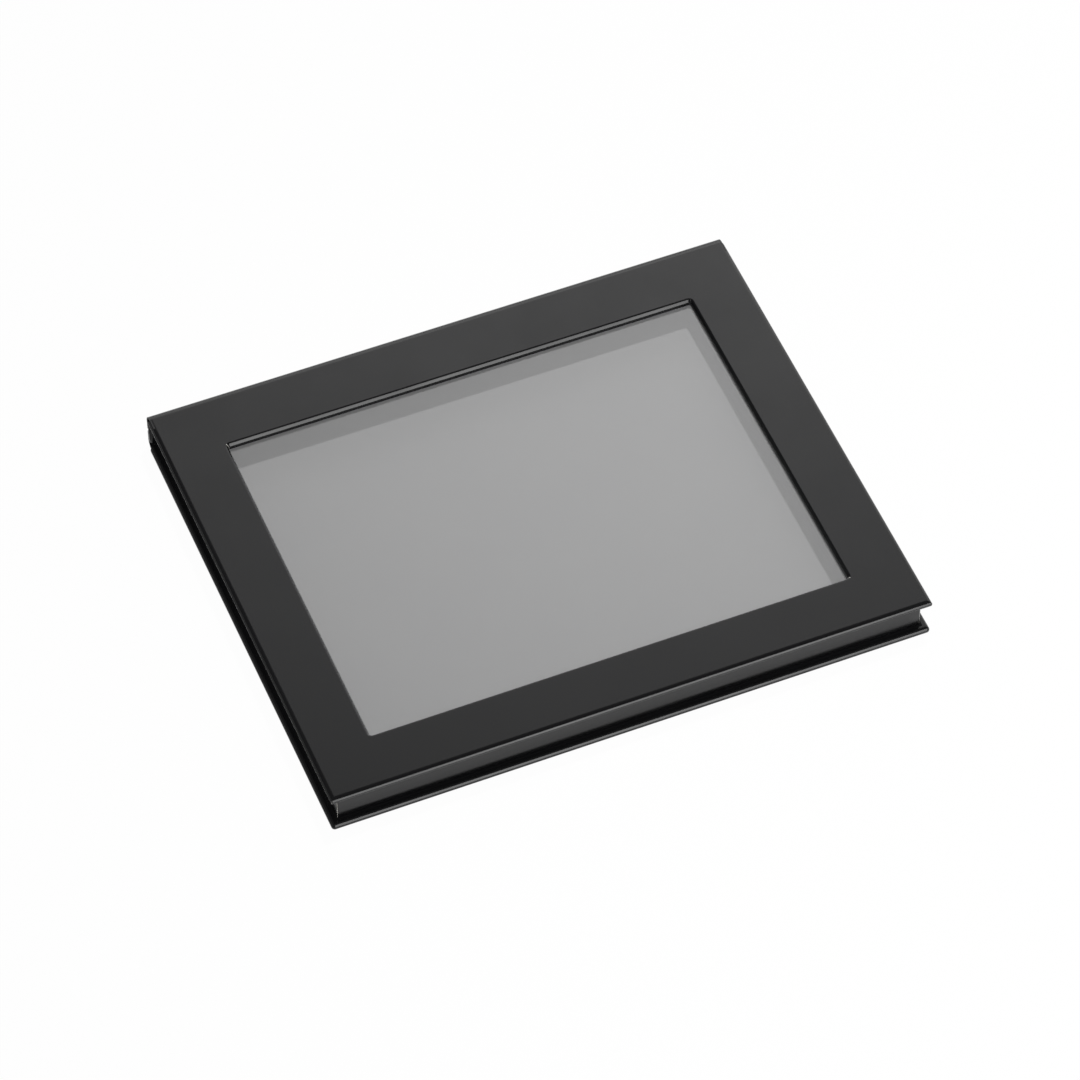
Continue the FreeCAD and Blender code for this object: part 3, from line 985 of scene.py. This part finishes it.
@dataclass
class Tray:
    """The shallow tray: its paper wrap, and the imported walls, floor, magnets and sheet inside it."""

    half_width: float = 97.5
    front: float = -80.0
    back: float = 79.3
    bottom: float = 2.6
    top: float = 12.4
    floor_level: float = 3.6
    corner: float = 0.8
    well_half_width: float = 93.1
    well_front: float = -69.6
    well_back: float = 74.9
    well_corner: float = 0.4
    fold: Roll = Roll((Bend(0.35),), steps=5)
    fold_core: float = 0.85
    hold: float = 0.15
    paper: float = 0.2
    # The wrap's hidden side lies this far under the tray's top
    hidden_drop: float = 1.0

    def outer_ring(self, inset: float, level: float, core: float = 0.0) -> Ring:
        """Give a ring of the tray's outside."""
        corner = max(self.corner - inset, TINY)
        return Ring(self.half_width - inset, self.front + inset, self.back - inset, level,
                    corner, corner, core, core)

    def well_ring(self, outset: float, level: float) -> Ring:
        """Give a ring of the tray's well."""
        corner = self.well_corner + outset
        return Ring(self.well_half_width + outset, self.well_front - outset,
                    self.well_back + outset, level, corner, corner)

    def rings(self) -> list[Ring]:
        """Follow the paper up the outside, over the walls, down into the well and back under itself.

        Returns:
            The rings in that order, with the first one again at the end.
        """
        over = self.fold.points()
        rim = over[0][0] + self.hold
        under = self.bottom + TINY
        hidden_top = self.top - self.hidden_drop
        outside = [self.outer_ring(0, level, self.fold_core) for level in (under, under + self.hold)]
        outside += [self.outer_ring(inset, self.top - depth, self.fold_core)
                    for inset, depth in reversed(over)]
        flat = [self.outer_ring(rim, self.top), self.well_ring(rim, self.top)]
        inside = [self.well_ring(outset, self.top - depth) for outset, depth in over]
        inside += [self.well_ring(0, self.floor_level + self.hold), self.well_ring(0, self.floor_level)]
        hidden = [self.well_ring(self.paper, self.floor_level), self.well_ring(self.paper, hidden_top),
                  self.outer_ring(self.paper, hidden_top), self.outer_ring(self.paper, under)]
        found = outside + flat + inside + hidden
        return [*found, found[0]]

    def build(self, loft: WrapLoft, paper: bpy.types.Material) -> bpy.types.Object:
        """Make the tray's wrap.

        Args:
            loft: The tree that makes wrapped shapes.
            paper: The wrap's finish.

        Returns:
            The wrap.
        """
        cover = loft.make("tray_cover", self.rings(), paper)
        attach(cover, Carrier.BASE.value)
        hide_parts("tray_wrap")
        return cover

    def dress(self, board: bpy.types.Material, rubber: bpy.types.Material, vinyl: bpy.types.Material,
              nickel: bpy.types.Material) -> None:
        """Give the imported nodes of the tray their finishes.

        Args:
            board: The walls' and the floor's finish.
            rubber: The magnet sheet's finish.
            vinyl: The facing's finish.
            nickel: The magnets' finish.
        """
        for part in ("floor", "front_wall", "back_wall", "left_wall", "right_wall"):
            dress_node(f"tray_{part}", board)
        dress_node("magnetic_sheet", rubber)
        dress_node("sheet_facing", vinyl)
        dress_node("tray_magnet_left", nickel)
        dress_node("tray_magnet_right", nickel)


# The studio

@dataclass(frozen=True)
class Softbox:
    """A flat lamp that looks at the object, in metres, watts and degrees."""

    name: str
    place: tuple[float, float, float]
    width: float
    height: float
    power: float
    aim: tuple[float, float, float] = (0.0, 0.0, 0.01)
    spread: float = 180.0
    duty: Duty = Duty.CARD

    def hang(self) -> None:
        """Put the lamp into the scene."""
        data = bpy.data.lights.new(self.name, "AREA")
        data.shape = "RECTANGLE"
        data.size = self.width
        data.size_y = self.height
        data.energy = self.power
        data.spread = math.radians(self.spread)
        lamp = bpy.data.objects.new(self.name, data)
        lamp.visible_glossy = self.duty is Duty.CARD
        lamp.visible_diffuse = self.duty is Duty.LIGHT
        lamp.location = self.place
        look = Vector(self.aim) - Vector(self.place)
        lamp.rotation_mode = "QUATERNION"
        lamp.rotation_quaternion = look.to_track_quat("-Z", "Y")
        bpy.context.scene.collection.objects.link(lamp)


@dataclass(frozen=True)
class StudioSheet:
    """A level sheet that the object stands on or beside, in metres."""

    name: str
    left: float
    right: float
    front: float
    back: float
    level: float

    def lay(self, material: bpy.types.Material) -> bpy.types.Object:
        """Put the sheet into the scene as part of the stage.

        Args:
            material: The sheet's finish.

        Returns:
            The sheet.
        """
        corners = [(self.left, self.front, self.level), (self.right, self.front, self.level),
                   (self.right, self.back, self.level), (self.left, self.back, self.level)]
        mesh = bpy.data.meshes.new(self.name)
        mesh.from_pydata(corners, [], [(0, 1, 2, 3)])
        mesh.materials.append(material)
        sheet = link_object(self.name, mesh)
        return sheet


@dataclass
class Studio:
    """A white floor, soft light and the camera at the photograph's angle."""

    azimuth: float = -22.46
    elevation: float = 51.30
    camera_place: tuple[float, float, float] = (-0.4238, -1.0306, 1.3897)
    lens: float = 187.65
    far_clip: float = 100.0
    floor: StudioSheet = StudioSheet("floor", left=-12.0, right=12.0, front=-12.0, back=12.0,
                                     level=-0.05 * MM)
    # A grey sheet that only reflections see: painted shade in the reflections of the object's left edges
    left_reflection_shade_card: StudioSheet = StudioSheet("left_reflection_shade_card", left=-0.22, right=-0.102, front=-0.1, back=0.13,
                                         level=0.0)
    reflection_shade_tone: str = "#8a8a8a"
    floor_tone: str = "#f2f2f2"
    floor_glow: float = 0.96
    floor_glow_in_gloss: float = 0.4
    ambient: float = 0.1

    def lamps(self) -> list[Softbox]:
        """Set the lamps' places and strengths.

        Returns:
            The lamps, the two lights before the cards.
        """
        return [
            Softbox("key", place=(0.55, 0.56, 2.38), width=0.12, height=0.12, power=21.5, duty=Duty.LIGHT),
            Softbox("fill", place=(-0.445, -1.082, 1.459), width=0.05, height=0.05, power=3.65,
                    aim=(0.42, 0.08, 0.0), spread=60.0, duty=Duty.LIGHT),
            Softbox("back_grid", place=(0.475, 1.16, 1.55), width=2.0, height=2.0, power=0.74,
                    aim=(-0.125, -0.2, 0.21), spread=30.0),
            Softbox("back_low", place=(0.5, 2.0, 0.8), width=2.4, height=1.0, power=9.0),
            Softbox("right_back", place=(1.75, 1.25, 0.95), width=2.0, height=1.3, power=10.5),
            Softbox("front_strip", place=(0.536, -2.15, 0.33), width=1.0, height=0.66, power=10.5),
        ]

    def floor_finish(self) -> bpy.types.Material:
        """Make the white floor, which glows to the eye and in gloss, and is see-through from below.

        Returns:
            The floor's finish.
        """
        material, tree, surface = new_material("studio_floor")
        path = add_node(tree, "ShaderNodeLightPath")
        mirrored = add_node(tree, "ShaderNodeMath", {"operation": "MAXIMUM"}, {
            0: path.outputs["Is Glossy Ray"], 1: path.outputs["Is Transmission Ray"]})
        in_gloss = add_node(tree, "ShaderNodeMath", {"operation": "MULTIPLY"}, {
            0: mirrored.outputs["Value"], 1: self.floor_glow_in_gloss})
        share = add_node(tree, "ShaderNodeMath", {"operation": "MULTIPLY_ADD"}, {
            0: path.outputs["Is Camera Ray"], 1: self.floor_glow, 2: in_gloss.outputs["Value"]})
        paint = add_node(tree, "ShaderNodeBsdfDiffuse", inputs={"Color": linear(self.floor_tone)})
        glow = add_node(tree, "ShaderNodeEmission", inputs={"Strength": 1.0})
        mixed = add_node(tree, "ShaderNodeMixShader", inputs={
            0: share.outputs["Value"], 1: paint.outputs["BSDF"], 2: glow.outputs["Emission"]})
        below = add_node(tree, "ShaderNodeNewGeometry").outputs["Backfacing"]
        clear = add_node(tree, "ShaderNodeBsdfTransparent")
        seen = add_node(tree, "ShaderNodeMixShader", inputs={
            0: below, 1: mixed.outputs["Shader"], 2: clear.outputs["BSDF"]})
        tree.links.new(seen.outputs["Shader"], surface)
        return material

    def lay_reflection_shade_card(self) -> None:
        """Lay a grey card at the left that only gloss shows, as painted shade in reflections that keeps
        the object's left edges dark.
        """
        material, tree, surface = new_material("studio_reflection_shade_card")
        paint = add_node(tree, "ShaderNodeBsdfDiffuse", inputs={"Color": linear(self.reflection_shade_tone)})
        tree.links.new(paint.outputs["BSDF"], surface)
        card = self.left_reflection_shade_card.lay(material)
        card.visible_camera = False
        card.visible_diffuse = False
        card.visible_transmission = False
        card.visible_shadow = False

    def fill_world(self) -> None:
        """Fill the studio with an even, weak light."""
        world = bpy.data.worlds.new("studio")
        world.use_nodes = True
        world.node_tree.nodes["Background"].inputs["Color"].default_value = (1, 1, 1, 1)
        world.node_tree.nodes["Background"].inputs["Strength"].default_value = self.ambient
        bpy.context.scene.world = world

    def set_camera(self) -> None:
        """Stand the camera where the photograph was taken from."""
        data = bpy.data.cameras.new("camera")
        data.lens = self.lens
        data.clip_end = self.far_clip
        camera = bpy.data.objects.new("camera", data)
        turn, rise = math.radians(self.azimuth), math.radians(self.elevation)
        away = math.cos(rise)
        back = Vector((math.sin(turn) * away, -math.cos(turn) * away, math.sin(rise)))
        camera.location = self.camera_place
        camera.rotation_mode = "QUATERNION"
        camera.rotation_quaternion = (-back).to_track_quat("-Z", "Y")
        bpy.context.scene.collection.objects.link(camera)
        bpy.context.scene.camera = camera

    def build(self) -> None:
        """Set up the whole studio."""
        bpy.context.scene.view_settings.view_transform = "Standard"
        self.floor.lay(self.floor_finish())
        self.lay_reflection_shade_card()
        self.fill_world()
        for lamp in self.lamps():
            lamp.hang()
        self.set_camera()
        log.info("studio ready")


def main() -> None:
    """Build every sub-assembly in order and report each piece."""
    logging.basicConfig(level=logging.INFO, format="%(name)s: %(message)s")
    paper = LaminatedPaper().make()
    lining = LiningPaper().make()
    board = GreyBoard().make()
    film = ClearFilm().make()
    vinyl = CoatedVinyl().make()
    rubber = MagnetRubber().make()
    nickel = NickelPlate().make()
    loft = WrapLoft()
    loft.plan()

    base, spine, lid, tray = Base(), Spine(), Lid(), Tray()
    pieces = [base.build(loft, paper), spine.build(loft, paper), *spine.creases(paper),
              lid.build(loft, paper), tray.build(loft, paper)]
    for piece in pieces:
        log.info("%s made with %d faces", piece.name, len(piece.data.polygons))
    base.dress(lining, board)
    spine.dress(lining, board)
    lid.dress(film, lining, board, nickel)
    tray.dress(board, rubber, vinyl, nickel)
    Studio().build()

    log.info("boxes written")


if __name__ == "__main__":
    main()
